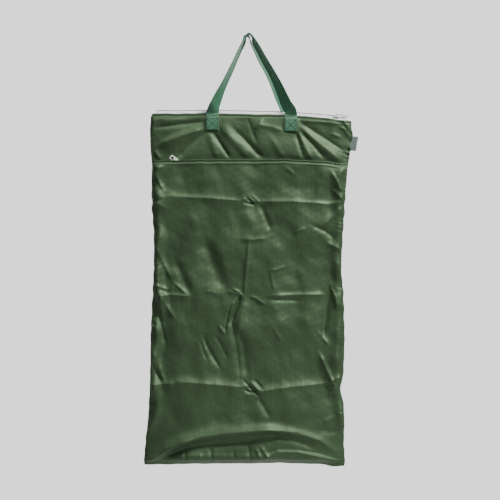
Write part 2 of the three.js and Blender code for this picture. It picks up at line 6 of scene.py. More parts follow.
import bmesh
import bpy
import numpy as np
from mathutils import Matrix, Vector


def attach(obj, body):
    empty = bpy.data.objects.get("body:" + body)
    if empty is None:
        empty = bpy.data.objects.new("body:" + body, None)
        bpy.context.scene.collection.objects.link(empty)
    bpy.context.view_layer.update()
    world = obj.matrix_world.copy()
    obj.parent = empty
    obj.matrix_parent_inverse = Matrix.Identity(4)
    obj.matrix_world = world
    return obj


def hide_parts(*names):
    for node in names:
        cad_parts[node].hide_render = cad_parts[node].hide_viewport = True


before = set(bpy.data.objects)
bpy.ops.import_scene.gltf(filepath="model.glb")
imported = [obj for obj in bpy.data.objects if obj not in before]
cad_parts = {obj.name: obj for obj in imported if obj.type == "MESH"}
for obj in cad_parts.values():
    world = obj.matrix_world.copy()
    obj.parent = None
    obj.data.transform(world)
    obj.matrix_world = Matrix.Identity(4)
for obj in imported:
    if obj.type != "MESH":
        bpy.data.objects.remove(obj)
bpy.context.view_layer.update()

MM = 0.001

# The photograph's scale, for the places of folds: one pixel, and the hang point's pixel
PIXEL = 1.97 * MM
HANG_PIXEL = (248.5, 34.0)

# Sizes of the bag, as in the CAD model
BAG_WIDTH = 400 * MM
BAG_HEIGHT = 695 * MM
BAG_DEPTH = 34 * MM
HANG_DROP = 155 * MM
POCKET_DROP = 93 * MM
TAPE_LAP = 9 * MM
HEM_ROOM = 2.55 * MM

# Sizes of the cloth's edges
CLOTH = 1.3 * MM
EDGE_ROUND = 2.2 * MM
HEM_STITCH = 5 * MM
HEM_TURN = 11 * MM
LIP_GROOVE = 4.2 * MM
LIP_FOLD = 8 * MM
LIP_RISE = 6.9 * MM
LIP_RISE_ENDS = (0.07, 0.134, 0.16, 0.45)
BOTTOM_STITCH = 6.5 * MM
LINING_INSET = 2.5 * MM
LAYER_GAP = 0.3 * MM
STITCH_DIP = 1.4 * MM

# Where the cloth is held: beside a patch, below the hem, at the zip's ends, by lip and foot
PATCH_HOLD, HEM_HOLD, HEM_FREE = 8 * MM, 3 * MM, 16 * MM
ZIP_END_ROOM = 9 * MM
LIP_FREE, FOOT_FREE = 16 * MM, 14 * MM

# Sizes of the handles
WEBBING_WIDTH = 25 * MM
WEBBING = 1.6 * MM
WEBBING_WAVER, WEBBING_CUP = 0.4 * MM, 0.5 * MM
HANDLE_APART, HANDLE_SEAT = 0.95 * MM, 0.15 * MM
PATCH_LENGTH = 33 * MM
FRONT_SPACING, FRONT_SHIFT, FRONT_BEND_X = 155 * MM, 6 * MM, 1 * MM
BACK_SPACING, BACK_SHIFT, BACK_BEND_X = 143 * MM, 0.0, -4 * MM
HOOK_RADIUS = 5 * MM
PATCH_SEAMS = (4 * MM, 10.5 * MM, 30.5 * MM)
PATCH_SEAM_INSET = 2 * MM

# Sizes of the zips and the tag
TAPE = 0.9 * MM
TAPE_SHOW = 4.6 * MM
ZIP_CENTRE_GAP = 2.5 * MM
ZIP_END_MARGIN = 9 * MM
COIL_RISE = 6 * MM
POCKET_ZIP_DROP = 101 * MM
POCKET_TAPE = 12 * MM
POCKET_ZIP_MARGIN = 22 * MM
POCKET_COIL_START = 63 * MM
COIL_WIRE = 0.32 * MM
TAG_REACH, TAG_LENGTH, TAG_DROP = 11 * MM, 30 * MM, 31 * MM
TAG_FOLD = 0.5 * MM

# The handles' free legs as the photograph shows them, in pixels: down, left edge, right edge.
# The further a ribbon is turned, the narrower it looks.
FRONT_LEGS = {
    -1: [(110, 207, 219.2), (106, 209.3, 219.6), (98, 213.5, 221.8), (90, 218, 224.4),
         (81.5, 223, 227.8), (70.8, 228.6, 232.6), (60, 233.6, 237), (49.2, 238.6, 241.6),
         (41, 243, 245.4)],
    1: [(110, 284.4, 296), (106, 282.2, 293), (98, 279, 288.6), (90, 276, 284.6),
        (81.5, 272.8, 280), (70.8, 267.8, 273.8), (60, 262, 267.3), (49.2, 256.6, 261.2),
        (41, 252.6, 256)],
}
BACK_LEGS = {
    -1: [(110, 205.9, 216), (106, 207.2, 214.5), (98, 211.2, 217), (90, 215.6, 220.6),
         (81.5, 220.7, 225), (70.8, 226.3, 230.2), (60, 231.8, 235), (49.2, 236.9, 239.8),
         (41, 241.3, 243.6)],
    1: [(110, 280.6, 290), (106, 279.4, 287), (98, 275.8, 283), (90, 272.8, 279),
        (81.5, 269.6, 275), (70.8, 264.6, 269), (60, 258.6, 262.4), (49.2, 253.6, 256.6),
        (41, 250, 252.4)],
}

# The side edges, as shares of the width, down the height: down, left, right
OUTLINE = np.array([
    [0, -0.475, 0.508], [0.014, -0.485, 0.51], [0.037, -0.487, 0.517],
    [0.065, -0.488, 0.51], [0.11, -0.484, 0.5], [0.135, -0.48, 0.494],
    [0.2, -0.48, 0.483], [0.27, -0.478, 0.475], [0.34, -0.47, 0.467],
    [0.43, -0.47, 0.461], [0.5, -0.474, 0.47], [0.57, -0.48, 0.474],
    [0.65, -0.485, 0.475], [0.75, -0.488, 0.465], [0.775, -0.49, 0.456],
    [0.81, -0.493, 0.469], [0.87, -0.498, 0.475], [0.93, -0.51, 0.473],
    [0.965, -0.514, 0.475], [0.985, -0.518, 0.478], [1, -0.513, 0.472],
])

# The top hem and the bottom seam, as shares of the height: across, top, bottom
HEMS = np.array([
    [0, 0, 1.001], [0.5, 0.002, 0.998], [0.65, 0.004, 0.997], [0.8, 0.009, 0.998],
    [0.9, 0.015, 1.001], [0.95, 0.019, 1.006], [1, 0.022, 1.005],
])

# How far the panels stand off, as shares of the depth: down, front, pocket, back
DEPTHS = np.array([
    [0, 0, 0.228, 0], [0.03, 0.11, 0.228, 0.07], [0.07, 0.165, 0.228, 0.12],
    [0.135, 0.175, 0.228, 0.15], [0.246, 0.19, 0.228, 0.175], [0.38, 0.215, 0.285, 0.19],
    [0.515, 0.205, 0.27, 0.18], [0.64, 0.25, 0.35, 0.205], [0.773, 0.245, 0.31, 0.19],
    [0.86, 0.32, 0.42, 0.23], [0.92, 0.33, 0.45, 0.235], [0.96, 0.33, 0.45, 0.2],
    [0.982, 0.31, 0.43, 0.15], [1, 0, 0, 0],
])

# How strongly all the folds stand out, the share of a fold's path in which each end fades,
# and how far relief fades in beside a side seam
FOLD_STRENGTH = 1.8
FOLD_ENDS = 0.22
SIDE_FADE = 7 * MM

# Uneven hang of the cloth, in millimetres: wave length, height, stretch up and down
SWELLS = [(150, 2.6, 1.0), (70, 1.9, 0.7), (30, 0.42, 0.8), (13, 0.14, 1.0)]

# Along a side seam: small puckers, and the low ridge that the seam allowance makes
PUCKER_HEIGHT, PUCKER_SPACING, PUCKER_REACH = 1.4 * MM, 13 * MM, 8 * MM
RIDGE_HEIGHT, RIDGE_PLACE, RIDGE_WANDER, RIDGE_WIDTH = 10 * MM, 11 * MM, 5 * MM, 12 * MM

# Folds of the front panel above the pocket: a path in pixels, then its height and its half
# width in millimetres, how sharp its crest is, and how much steeper the path's right side is
FRONT_FOLDS = [
    ([(205, 121), (180, 124), (155, 127.3)], -2.4, 5, 0.5, 0),
    ([(205, 128), (182, 135), (156, 146)], 3.4, 9, 0.3, 0.3),
    ([(205, 130), (190, 144), (176, 160)], -2.6, 7, 0.4, 0),
    ([(208, 131), (213, 146), (218, 160)], 1.3, 7, 0.1, 0),
    ([(213, 132), (222, 146), (231, 160)], -2.2, 4.5, 0.4, 0),
    ([(219, 125), (236, 142), (251, 160)], 2.4, 11, 0.1, 0.2),
    ([(233, 128), (249, 144), (264, 160)], -2.2, 6, 0.3, 0),
    ([(247, 117), (253, 133), (257, 144)], -1, 4, 0.5, 0),
    ([(262, 117), (256, 131)], 1.1, 4, 0.5, 0),
    ([(154, 150), (157, 155), (160, 160)], 1.6, 5, 0.4, 0),
    ([(296, 131), (300, 146), (304, 160)], -1.6, 4.5, 0.5, 0),
    ([(297, 129), (304, 144), (312, 160)], 1.5, 5.5, 0.3, 0),
    ([(299, 129), (313, 144), (326, 160)], -1.6, 5, 0.4, 0),
    ([(297, 125), (319, 143), (342, 162)], 2, 8, 0.3, 0),
    ([(299, 121), (324, 137), (349, 154)], -1.4, 5, 0.5, 0),
    ([(299, 120), (320, 121), (341, 123)], 1.6, 4.5, 0.3, 0),
    ([(342, 119), (347, 124), (350, 131)], 1.5, 3.5, 0.5, 0),
    ([(339, 126), (345, 129), (350, 137)], 1.2, 3.5, 0.5, 0),
    ([(331, 133), (341, 137)], 1, 4, 0.4, 0),
    ([(152, 117), (166, 118), (190, 119)], 0.8, 4, 0.3, 0),
    ([(256, 124), (272, 127), (284, 131)], 1, 5, 0.3, 0),
    ([(268, 133), (276, 146), (285, 160)], 1, 7, 0.2, 0),
]

# Folds of the pocket panel, in the same columns
POCKET_FOLDS = [
    # the crease across the upper part
    ([(167, 196), (205, 198), (244, 201)], 2, 7.5, 0.8, -0.4),
    ([(241, 200.5), (249, 198.5), (256, 203)], 1, 4.5, 0.7, 0.2),
    ([(251, 201.5), (290, 201.3), (327, 203.8), (346, 202)], 2, 7.5, 0.8, -0.4),
    # the crease a bit above the middle
    ([(154, 295.5), (170, 294.8), (192, 296.5)], 2.2, 9, 0.8, -0.4),
    ([(206, 291.5), (217, 293.4)], 1, 4, 0.6, 0.2),
    ([(228, 291.5), (242, 295.6)], 1.2, 4, 0.7, 0.2),
    ([(249, 296), (256, 298.5), (265, 304.5)], 1.7, 3.6, 0.8, 0.3),
    ([(268, 295.9), (298, 294.6), (331, 294.4)], 2.5, 9, 0.8, -0.4),
    ([(268, 299.5), (284, 300), (302, 300.2)], -1.6, 4.5, 0.4, 0),
    # the crease above the foot
    ([(146, 385), (160, 384), (176, 383)], 2.2, 9, 0.8, -0.4),
    ([(172, 381), (190, 382), (215, 384), (247, 387)], 3.6, 19, 0.8, -0.5),
    ([(243, 386.5), (251, 384.5), (262, 391)], 1.3, 5, 0.6, 0.2),
    ([(250, 393), (262, 390.5), (274, 388.4), (296, 385.6), (326, 383)], 3.6, 19, 0.8, -0.5),
    ([(322, 385), (334, 380), (343, 376)], 2.2, 5, 0.7, 0.2),
    ([(328, 392), (336, 388), (343, 390)], 1.8, 4.5, 0.6, 0.2),
    ([(257, 396), (264, 407), (270, 418)], -1.8, 6.5, 0.3, 0),
    ([(244, 389), (250, 392), (257, 391)], -2.2, 2.6, 0.6, 0),
    ([(247, 384), (252, 389), (259, 396)], -2, 2.8, 0.6, 0),
    ([(251, 381), (255, 386), (259, 391)], 0.9, 2.8, 0.5, 0),
    ([(254, 379), (258, 384), (263, 389)], -1.4, 2.8, 0.5, 0),
    ([(243, 379), (246, 383), (250, 386)], -1.3, 2.6, 0.5, 0),
    ([(246, 197), (250, 201), (254, 206)], -1.8, 2.8, 0.6, 0),
    ([(243, 202), (249, 204), (255, 203)], -1.5, 2.6, 0.6, 0),
    ([(252, 195), (256, 199), (260, 204)], 0.7, 2.8, 0.5, 0),
    # along the left seam
    ([(153, 171), (158, 180), (163, 190)], 1.8, 4.5, 0.5, 0.2),
    ([(150, 201.5), (156, 200.6), (162, 199)], -1.5, 4, 0.5, 0),
    ([(151, 202.8), (158, 205), (165, 208)], 1.6, 4, 0.5, 0.2),
    ([(154, 243), (163, 262), (172, 281)], 2, 6, 0.5, 0.2),
    ([(152, 284), (160, 287), (168, 290)], 1.8, 4, 0.6, 0.2),
    ([(167, 294), (175, 284), (189, 295.5)], 1.2, 4, 0.5, 0),
    ([(159, 296), (167, 307), (175, 319)], 1.7, 5, 0.5, 0.1),
    ([(156, 302), (160, 322), (165, 346)], -2.2, 4.6, 0.4, 0),
    ([(153, 350), (159, 368), (165, 384)], 1.8, 5, 0.4, 0),
    ([(151, 362), (156, 373), (161, 384)], -1.4, 3.4, 0.5, 0),
    ([(147, 388), (152, 398), (156, 410)], -1.5, 4, 0.4, 0),
    # along the right seam
    ([(331, 171), (337, 182), (343, 193)], 1.9, 5, 0.5, -0.2),
    ([(322, 178), (318, 192), (315, 206)], 1.4, 9, 0.2, 0),
    ([(332, 189), (338, 195), (344, 200)], 1.6, 4.5, 0.5, 0),
    ([(321, 227), (332, 217), (344, 206)], 1.9, 5.5, 0.5, -0.2),
    ([(312, 225), (326, 231.6), (334, 238)], -1.8, 5, 0.4, 0),
    ([(326, 242.5), (335, 247), (344, 253)], 1.7, 5, 0.5, 0.2),
    ([(327, 284), (326, 312), (323, 341)], -3.4, 7, 0.4, 0),
    ([(331, 287), (335, 297), (337, 309)], 1.8, 4, 0.5, 0),
    ([(318, 331), (323, 338), (328, 345)], 1.6, 4, 0.5, 0),
    ([(320, 353.5), (326, 368), (334, 385)], 3.8, 5, 0.8, -0.4),
    # broad forms of the middle
    ([(201, 234), (213, 262), (228, 295)], -3.6, 15, 0, 0),
    ([(175, 260), (183, 278), (191, 295)], -2.2, 9, 0.1, 0),
    ([(244, 208), (250, 222), (257, 238)], 1.7, 14, 0.1, 0),
    ([(240, 239.5), (253, 240), (266, 238.6)], 1.6, 6, 0.5, 0.3),
    ([(260, 204), (266, 218), (271, 231)], -1.8, 6, 0.2, 0),
    ([(249.4, 238), (246, 268), (243.8, 299)], 1.6, 4.5, 0.6, 0.2),
    ([(269, 271.4), (278, 269.5), (286, 266.5)], 1.1, 4, 0.6, 0.2),
    ([(270, 271), (272, 280), (274, 290)], 1, 4, 0.5, 0),
    ([(294, 233.5), (306, 228.4)], 1.1, 4.5, 0.5, 0),
    ([(286, 168), (290, 171), (294, 175)], 1.1, 5, 0.4, 0),
    ([(240.5, 294), (236, 309), (231.2, 322), (236, 345), (240, 378)], -2.4, 6, 0.4, 0),
    ([(240.6, 293), (239, 302), (235, 312), (231, 323)], -2.6, 2.8, 0.7, 0),
    ([(230, 308), (227, 320), (224.4, 332)], -2.6, 2.8, 0.7, 0),
    ([(235, 300), (231, 311), (228, 322)], 1.5, 2.8, 0.5, 0),
    ([(219, 325), (222, 330), (225, 334)], 1.4, 2.6, 0.5, 0),
    ([(233, 289), (239, 292), (243, 297)], 1.6, 3, 0.6, 0),
    ([(246, 300), (241, 318), (237, 334)], 2, 7, 0.3, 0),
    ([(233, 322), (243, 345), (247, 378)], -2.2, 8, 0.2, 0),
    ([(203, 334), (207, 346), (215, 360), (221, 370)], -2, 4.6, 0.5, 0),
    ([(200, 340), (203, 350), (207, 360)], -1.2, 3, 0.5, 0),
    ([(214, 334), (222, 346), (228, 360)], -1, 3.6, 0.4, 0),
    ([(272, 326), (282, 342)], 0.9, 4, 0.5, 0),
    ([(263, 348.5), (270, 343.5)], 0.9, 3.5, 0.5, 0),
    # the bulge over the foot, the dark hollow under it, and the flap at its right
    ([(143, 464.5), (150, 460), (157, 455.5), (168, 448), (182, 441.5), (196, 437)],
     3.2, 7, 0.5, 0.3),
    ([(150, 463), (157, 457), (168, 449), (182, 442), (202, 436), (225, 432.5), (247, 430.5),
      (267, 428.6), (290, 431)], 5.6, 10.5, 0.4, 0.3),
    ([(244, 431), (267, 428.6), (287, 430.6), (306, 435), (320.5, 440.4), (334.6, 451.7),
      (341, 458)], 3, 8, 0.4, 0.1),
    ([(160, 459), (172, 453), (185, 448), (202, 445.5), (225, 443.5), (247, 441.5), (262, 439)],
     -3, 9.5, 0.1, 0),
    ([(262, 443), (276, 437), (292, 439), (306, 444), (318, 450)], -1.4, 6, 0.3, 0),
    ([(264, 457.5), (270, 454.5), (278, 450.3), (298, 450.8), (315, 454.5), (334.6, 460),
      (342, 462)], 3.4, 4.6, 0.7, -0.6),
    ([(261, 446), (269, 458)], 1.6, 4.5, 0.5, 0),
    ([(185, 449), (186, 463)], -1.2, 4, 0.4, 0),
    ([(211, 447), (212, 463)], -1.5, 4, 0.5, 0),
    ([(233, 449), (235, 463)], -1.2, 3.5, 0.4, 0),
    ([(248, 444), (251, 463)], -1.6, 4.5, 0.5, 0),
    ([(256, 447), (262, 463)], 1.6, 4, 0.5, 0),
    ([(300, 456), (302, 463)], 0.9, 3.5, 0.4, 0),
    ([(200, 452), (201, 463)], 0.8, 3.5, 0.4, 0),
    ([(146, 460.5), (158, 455.5)], 1.6, 4, 0.5, 0),
    ([(146, 463), (160, 463.5), (175, 465)], 1.1, 3.5, 0.5, 0),
    ([(322, 424), (332, 419), (343, 413)], 1.6, 8, 0.3, 0),
    ([(318, 429), (330, 432), (344, 431)], -1.5, 7, 0.3, 0),
]

# Folds of the back panel, which the photograph doesn't show: milder creases of the same kind
BACK_FOLDS = [
    ([(160, 198), (205, 201), (250, 199), (338, 203)], 2, 6, 0.7, 0.3),
    ([(158, 296), (215, 293), (268, 298), (335, 295)], 2, 6, 0.7, 0.3),
    ([(155, 385), (216, 382), (270, 388), (336, 384)], 2.2, 6, 0.7, 0.3),
    ([(292, 129), (312, 150), (334, 170)], 2.2, 9, 0.2, 0),
    ([(292, 122), (318, 134), (346, 148)], -1.6, 7, 0.3, 0),
    ([(283, 131), (279, 160), (272, 186)], -1.6, 8, 0.2, 0),
    ([(206, 129), (188, 148), (170, 168)], 2.2, 9, 0.2, 0),
    ([(206, 122), (180, 134), (156, 149)], -1.6, 7, 0.3, 0),
    ([(215, 131), (222, 160), (236, 186)], -1.6, 8, 0.2, 0),
    ([(196, 224), (212, 262), (222, 290)], -2.6, 16, 0, 0),
    ([(300, 330), (282, 350), (276, 378)], -2.2, 12, 0.1, 0),
    ([(158, 450), (200, 436), (262, 428), (308, 432), (338, 450)], 2.4, 10, 0.2, 0),
]


# Smooth curve through a table's rows, at many places at once
def along(rows, at, column):
    places, values = rows[:, 0], rows[:, column]
    slopes = np.gradient(values, places)
    at = np.clip(at, places[0], places[-1])
    low = np.clip(np.searchsorted(places, at) - 1, 0, len(places) - 2)
    step = places[low + 1] - places[low]
    t = (at - places[low]) / step
    return (
        values[low] * (1 + 2 * t) * (1 - t) ** 2 + slopes[low] * step * t * (1 - t) ** 2
        + values[low + 1] * t * t * (3 - 2 * t) + slopes[low + 1] * step * t * t * (t - 1)
    )


def smoothstep(low, high, value):
    t = np.clip((value - low) / (high - low), 0, 1)
    return t * t * (3 - 2 * t)


def lerp(a, b, share):
    return a + (b - a) * share


# Soft random waves over a surface, of about one wavelength, between about -1 and 1
def waves(x, z, length, seed, stretch=1.0):
    random = np.random.default_rng(seed)
    total = np.zeros(np.broadcast(x, z).shape)
    count = 20
    for angle, scale, phase in random.uniform(0, 1, (count, 3)):
        turn, rate = 2 * math.pi * angle, 2 * math.pi / length * (0.6 + 0.8 * scale)
        total += np.cos(rate * (math.cos(turn) * x + math.sin(turn) * z * stretch) + 6.3 * phase)
    return total / math.sqrt(count / 2) / 1.5


# How high the folds of a table rise at many places, in metres
def fold_height(folds, x, z):
    px, pz = x / PIXEL + HANG_PIXEL[0], HANG_PIXEL[1] - z / PIXEL
    total = np.zeros_like(px)
    for path, height, reach, sharp, steep in folds:
        reach_px = reach * MM / PIXEL
        nodes = np.array(path, float)
        lengths = np.hypot(*np.diff(nodes, axis=0).T)
        starts = np.concatenate([[0], np.cumsum(lengths)])
        best = np.full(px.shape, np.inf)
        place = np.zeros_like(px)
        side = np.zeros_like(px)
        for start, node, step, length in zip(starts, nodes, np.diff(nodes, axis=0), lengths):
            away_x, away_z = px - node[0], pz - node[1]
            share = np.clip((away_x * step[0] + away_z * step[1]) / length ** 2, 0, 1)
            off_x, off_z = away_x - share * step[0], away_z - share * step[1]
            distance = np.hypot(off_x, off_z)
            nearer = distance < best
            best = np.where(nearer, distance, best)
            place = np.where(nearer, (start + share * length) / starts[-1], place)
            side = np.where(nearer, np.sign(step[0] * off_z - step[1] * off_x), side)
        away = best / (reach_px * (1 - steep * side))
        crest = sharp * np.exp(-1.5 * away) + (1 - sharp) * np.exp(-away ** 2)
        ends = smoothstep(0, FOLD_ENDS, place) * smoothstep(0, FOLD_ENDS, 1 - place)
        total += FOLD_STRENGTH * height * MM * crest * (0.25 + 0.75 * ends) * (away < 6)
    return total


# Places on the bag: across runs 0 to 1 from left to right, down 0 to 1 from hem to seam
def panel_x(across, down, inset=0.0):
    jitter = 0.5 * MM * waves(down * BAG_HEIGHT, 0 * down, 22 * MM, 3)
    left = along(OUTLINE, down, 1) * BAG_WIDTH + jitter + inset
    right = along(OUTLINE, down, 2) * BAG_WIDTH - jitter - inset
    return lerp(left, right, across)


def panel_z(across, down):
    top, bottom = along(HEMS, across, 1), along(HEMS, across, 2)
    sag = 0.5 * MM * waves(across * BAG_WIDTH, 0 * across, 45 * MM, 5)
    start, full, hold, end = LIP_RISE_ENDS
    lip = LIP_RISE * across ** 2 * smoothstep(start, full, down) * (1 - smoothstep(hold, end, down))
    return -HANG_DROP - BAG_HEIGHT * lerp(top, bottom, down) + sag + lip


def across_at(x, down):
    left, right = panel_x(0, down), panel_x(1, down)
    return (x - left) / (right - left)


# Distance of a place from the nearer side edge
def from_side(across):
    return np.minimum(across, 1 - across) * BAG_WIDTH


# How far a panel's body stands off between its side seams: boxy at the lip, softer below it
def body_depth(across, down, column):
    power = lerp(8, 3.5, smoothstep(0.15, 0.22, down))
    return BAG_DEPTH * along(DEPTHS, down, column) * (1 - np.abs(2 * across - 1) ** power)


# The cloth turns round its edge: 0 at the edge to 1 where it is past the turn
def turned(distance):
    share = np.clip(distance / EDGE_ROUND, 0, 1)
    return np.sqrt(1 - (1 - share) ** 2)


# A row of stitches draws the cloth in along a line
def stitched_dip(away, deep):
    return -deep * np.exp(-(away / STITCH_DIP) ** 2)


# Small puckers that the seams draw into the cloth beside them
def seam_puckers(across, down, seed):
    z = down * BAG_HEIGHT
    side = np.where(across < 0.5, 0.0, 1.0)
    edge = from_side(across)
    phase = z / PUCKER_SPACING + 1.1 * waves(z, side, 60 * MM, seed) + 0.35 * edge / (10 * MM)
    strength = 0.55 + 0.45 * waves(z, side * 0.3, 90 * MM, seed + 1)
    return PUCKER_HEIGHT * strength * np.sin(2 * math.pi * phase) * np.exp(-edge / PUCKER_REACH)


# The seam allowance inside stiffens the cloth along a side seam into a low ridge
def seam_ridge(across, down):
    edge = from_side(across)
    side = np.where(across < 0.5, 1.0, 0.7)
    z = down * BAG_HEIGHT
    strength = (1 + 0.4 * waves(z, side, 70 * MM, 81)) * (1 - smoothstep(0.87, 0.93, down))
    middle = RIDGE_PLACE + RIDGE_WANDER * waves(z, side, 90 * MM, 83)
    return RIDGE_HEIGHT * side * strength * np.exp(-((edge - middle) / RIDGE_WIDTH) ** 2)


# Broad swells, with shorter and flatter ones on them
def swells(x, z, seed):
    total = np.zeros_like(x)
    for order, (length, height, stretch) in enumerate(SWELLS):
        total += height * waves(x, z, length * MM, seed + order, stretch)
    return MM * total


# The cloth lies flat where the hem and a handle's two patches hold it
def held_flat(x, z, spacing, shift):
    hold = np.ones_like(x)
    for middle in (shift - spacing / 2, shift + spacing / 2):
        off_x = np.abs(x - middle) - WEBBING_WIDTH / 2
        off_z = np.abs(z + HANG_DROP + PATCH_LENGTH / 2) - PATCH_LENGTH / 2
        away = np.hypot(np.maximum(off_x, 0), np.maximum(off_z, 0))
        hold = hold * smoothstep(0, PATCH_HOLD, away)
    return hold * smoothstep(HEM_HOLD, HEM_FREE, -HANG_DROP - z)


# Distance of each panel's outer face from the middle plane. The tapes of the zip hold the
# panels apart at the hem.
def hem_room(across, down):
    ends = np.sqrt(np.clip(from_side(across) / ZIP_END_ROOM, 0, 1))
    return HEM_ROOM * (1 - smoothstep(TAPE_LAP, 5 * TAPE_LAP, down * BAG_HEIGHT)) * ends


# The cloth's turn round the side seams and the bottom seam
def rim(across, down):
    bottom = (1 - down) * BAG_HEIGHT
    return turned(np.minimum(from_side(across), bottom))


# Relief of the cloth's surface, which fades in beside the side seams
def relief_of(folds, swell, seed, x, z, across):
    relief = fold_height(folds, x, z) + swell * swells(x, z, seed)
    return relief * smoothstep(0, SIDE_FADE, from_side(across))


# The front panel, which has its relief above the pocket alone
def front_depth(across, down):
    x, z = panel_x(across, down), panel_z(across, down)
    above = 1 - smoothstep(POCKET_DROP - 12 * MM, POCKET_DROP + 4 * MM, down * BAG_HEIGHT)
    relief = relief_of(FRONT_FOLDS, 0.6, 11, x, z, across)
    relief = relief * held_flat(x, z, FRONT_SPACING, FRONT_SHIFT) * above
    puckers = seam_puckers(across, down, 21) * above
    hem = stitched_dip(down * BAG_HEIGHT - HEM_STITCH, 1.0 * MM)
    cloth = (CLOTH + hem) * rim(across, down) + LAYER_GAP
    return hem_room(across, down) + cloth + body_depth(across, down, 1) + relief + puckers


# The pocket's panel, over the front one: its lip is sewn and folded, and its foot is calmer
def pocket_depth(across, down):
    x, z = panel_x(across, down), panel_z(across, down)
    front, pocket = body_depth(across, down, 1), body_depth(across, down, 2)
    below_lip = down * BAG_HEIGHT - POCKET_DROP
    above_foot = (1 - down) * BAG_HEIGHT
    loose = smoothstep(0, LIP_FREE, below_lip) * smoothstep(0, FOOT_FREE, above_foot)
    calm = 1 - 0.65 * smoothstep(0.86, 0.9, down)
    relief = relief_of(POCKET_FOLDS, calm, 31, x, z, across) * (0.25 + 0.75 * loose)
    puckers = seam_puckers(across, down, 41) * (0.4 + 0.6 * loose)
    lip = stitched_dip(below_lip - LIP_GROOVE, 1.4 * MM)
    lip = lip + 0.8 * MM * np.exp(-((below_lip - LIP_FOLD) / (1.8 * MM)) ** 2)
    foot = stitched_dip(above_foot - BOTTOM_STITCH, 1.1 * MM)
    layers = (0.5 * MM + 2 * CLOTH) * rim(across, down) + 0.5 * MM
    ridge = seam_ridge(across, down) * loose
    outer = layers + front + pocket + relief + puckers + (lip + foot + ridge) * rim(across, down)
    return np.maximum(outer, layers + front)


def back_depth(across, down):
    x, z = panel_x(across, down), panel_z(across, down)
    above_foot = (1 - down) * BAG_HEIGHT
    loose = smoothstep(0, FOOT_FREE, above_foot)
    relief = relief_of(BACK_FOLDS, 0.8, 51, x, z, across)
    relief = relief * loose * held_flat(x, z, BACK_SPACING, BACK_SHIFT)
    puckers = seam_puckers(across, down, 61)
    foot = stitched_dip(above_foot - BOTTOM_STITCH, 0.9 * MM)
    hem = stitched_dip(down * BAG_HEIGHT - HEM_STITCH, 0.9 * MM)
    cloth = (CLOTH + foot + hem) * rim(across, down) + LAYER_GAP
    return hem_room(across, down) + cloth + body_depth(across, down, 3) + relief + puckers


# A panel's depth under webbing at x and z: the webbing bridges the dips of the seams
def depth_under(depth_at, x, z):
    across = across_at(x, 0)
    top, bottom = along(HEMS, across, 1), along(HEMS, across, 2)
    down = np.maximum(0, ((-z - HANG_DROP) / BAG_HEIGHT - top) / (bottom - top))
    bridged = 3 * MM / BAG_HEIGHT
    above, below = np.maximum(0, down - bridged), down + bridged
    return np.maximum(depth_at(across, below), depth_at(across, above))


# Meshes
def new_object(name, vertices, faces):
    mesh = bpy.data.meshes.new(name)
    mesh.from_pydata(np.asarray(vertices, float).tolist(), [], [list(face) for face in faces])
    mesh.update()
    mesh.polygons.foreach_set("use_smooth", [True] * len(mesh.polygons))
    item = bpy.data.objects.new(name, mesh)
    bpy.context.collection.objects.link(item)
    return item


# Faces of a grid of rows by columns of vertices
def grid_faces(rows, columns, flip=False, closed=False):
    turn = np.arange(columns if closed else columns - 1)
    row = np.arange(rows - 1)[:, None] * columns
    a, b = row + turn, row + (turn + 1) % columns
    quads = np.stack([a, b, b + columns, a + columns], axis=-1).reshape(-1, 4)
    return quads[:, ::-1] if flip else quads


# Stations from a start through runs, each to an end in steps of about one size
def stations(start, *runs):
    places = [start]
    for end, step in runs:
        count = max(1, round((end - places[-1]) / step))
        places.extend(np.linspace(places[-1], end, count + 1)[1:])
    return np.array(places)


# Stations across a panel, closer together where it turns round its side edges
def columns_across(step):
    turn, near = EDGE_ROUND, 3 * EDGE_ROUND
    return stations(
        0, (turn, 0.4 * MM), (near, 1 * MM), (BAG_WIDTH - near, step),
        (BAG_WIDTH - turn, 1 * MM), (BAG_WIDTH, 0.4 * MM),
    ) / BAG_WIDTH


# A panel's sheet: it turns over its top edge and runs down inside it, then down its outer face.
# Side is -1 for a panel in front of the middle plane and 1 for one behind it.
def panel(name, depth_at, side, downs, turn, step, inset=0.0):
    across = columns_across(step)
    # drop inside the top edge, and how far in, as a share of the cloth
    inside = [(turn, 1), (0.6 * turn, 1), (1.6 * MM, 1), (0.5 * MM, 0.85), (0.12 * MM, 0.62)]
    top = downs[0]
    places = [(top + drop, inner) for drop, inner in inside]
    places += [(top, 0.42), (top + 0.12 * MM, 0.2), (top + 0.5 * MM, 0.06)]
    places += [(down, 0.0) for down in downs[1:]]
    down = np.array([p[0] for p in places])[:, None] / BAG_HEIGHT + 0 * across
    inner = np.array([p[1] for p in places])[:, None] + 0 * across
    wide = across + 0 * down
    depth = depth_at(wide, down) - inner * CLOTH
    hidden = smoothstep(POCKET_DROP + 1 * MM, POCKET_DROP + 9 * MM, down * BAG_HEIGHT)
    x = panel_x(wide, down, inset * hidden)
    points = np.stack([x, side * depth, panel_z(wide, down)], axis=-1).reshape(-1, 3)
    return new_object(name, points, grid_faces(len(places), len(across), flip=side > 0))


# A section through webbing: flat faces with shallow ribs, and round selvedges
def webbing_section():
    half, thick = WEBBING_WIDTH / 2, WEBBING / 2
    flats = np.linspace(-half + thick, half - thick, 14)
    ribs = thick * (1 - 0.1 * (np.arange(14) % 2))
    turns = np.linspace(0, math.pi, 6)[1:-1]
    bulge = thick * np.sin(turns)
    across = [flats, half - thick + bulge, flats[::-1], thick - half - bulge]
    off = [-ribs, -thick * np.cos(turns), ribs[::-1], thick * np.cos(turns)]
    return np.concatenate(across), np.concatenate(off)


